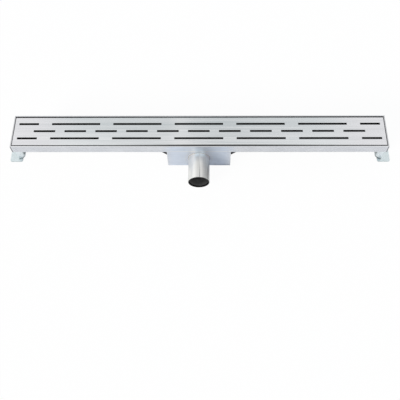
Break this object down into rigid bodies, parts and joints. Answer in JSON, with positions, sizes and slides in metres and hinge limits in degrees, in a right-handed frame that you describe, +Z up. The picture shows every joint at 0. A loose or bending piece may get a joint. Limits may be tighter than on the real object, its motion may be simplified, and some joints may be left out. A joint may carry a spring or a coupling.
{
  "type": "linear shower drain",
  "caption": "Long narrow shower floor drain: slotted steel grate in a folded trough, welded sump with a horizontal outlet tube, lift-out water trap and folded feet.",
  "frame": {"origin": "middle of the sump's flat underside, on the floor that the feet stand on", "axes": "+X along the trough, -Y the way the outlet tube points, +Z up to the grate"},
  "size_m": [0.738, 0.122, 0.068],
  "materials": {
    "grate_steel": "brushed lengthwise",
    "sheet_steel": "satin, mill rolled",
    "tube_steel": "drawn, polished round",
    "foot_steel": "bright zinc-like satin",
    "dark_steel": "heat-tinted, unpolished",
    "rubber": "matt black",
    "trap_plastic": "moulded, satin"
  },
  "bodies": {
    "root": {"trough": "sheet_steel", "end_cap_left": "sheet_steel", "end_cap_right": "sheet_steel", "sump_box": "sheet_steel", "sump_seat_plate": "sheet_steel", "outlet_pipe": "tube_steel", "gusset_front_left": "dark_steel", "gusset_front_right": "dark_steel", "gusset_rear_left": "dark_steel", "gusset_rear_right": "dark_steel", "foot_left": "foot_steel", "foot_right": "foot_steel", "grate": "grate_steel", "seat_seal": "rubber", "trap_cup": "trap_plastic", "trap_tube_seal": "rubber", "trap_tube": "trap_plastic", "hair_strainer": "sheet_steel", "strainer_bail": "tube_steel", "grate_pad_front_1": "rubber", "grate_pad_front_2": "rubber", "grate_pad_front_3": "rubber", "grate_pad_front_4": "rubber", "grate_pad_rear_1": "rubber", "grate_pad_rear_2": "rubber", "grate_pad_rear_3": "rubber", "grate_pad_rear_4": "rubber"}
  },
  "joints": []
}
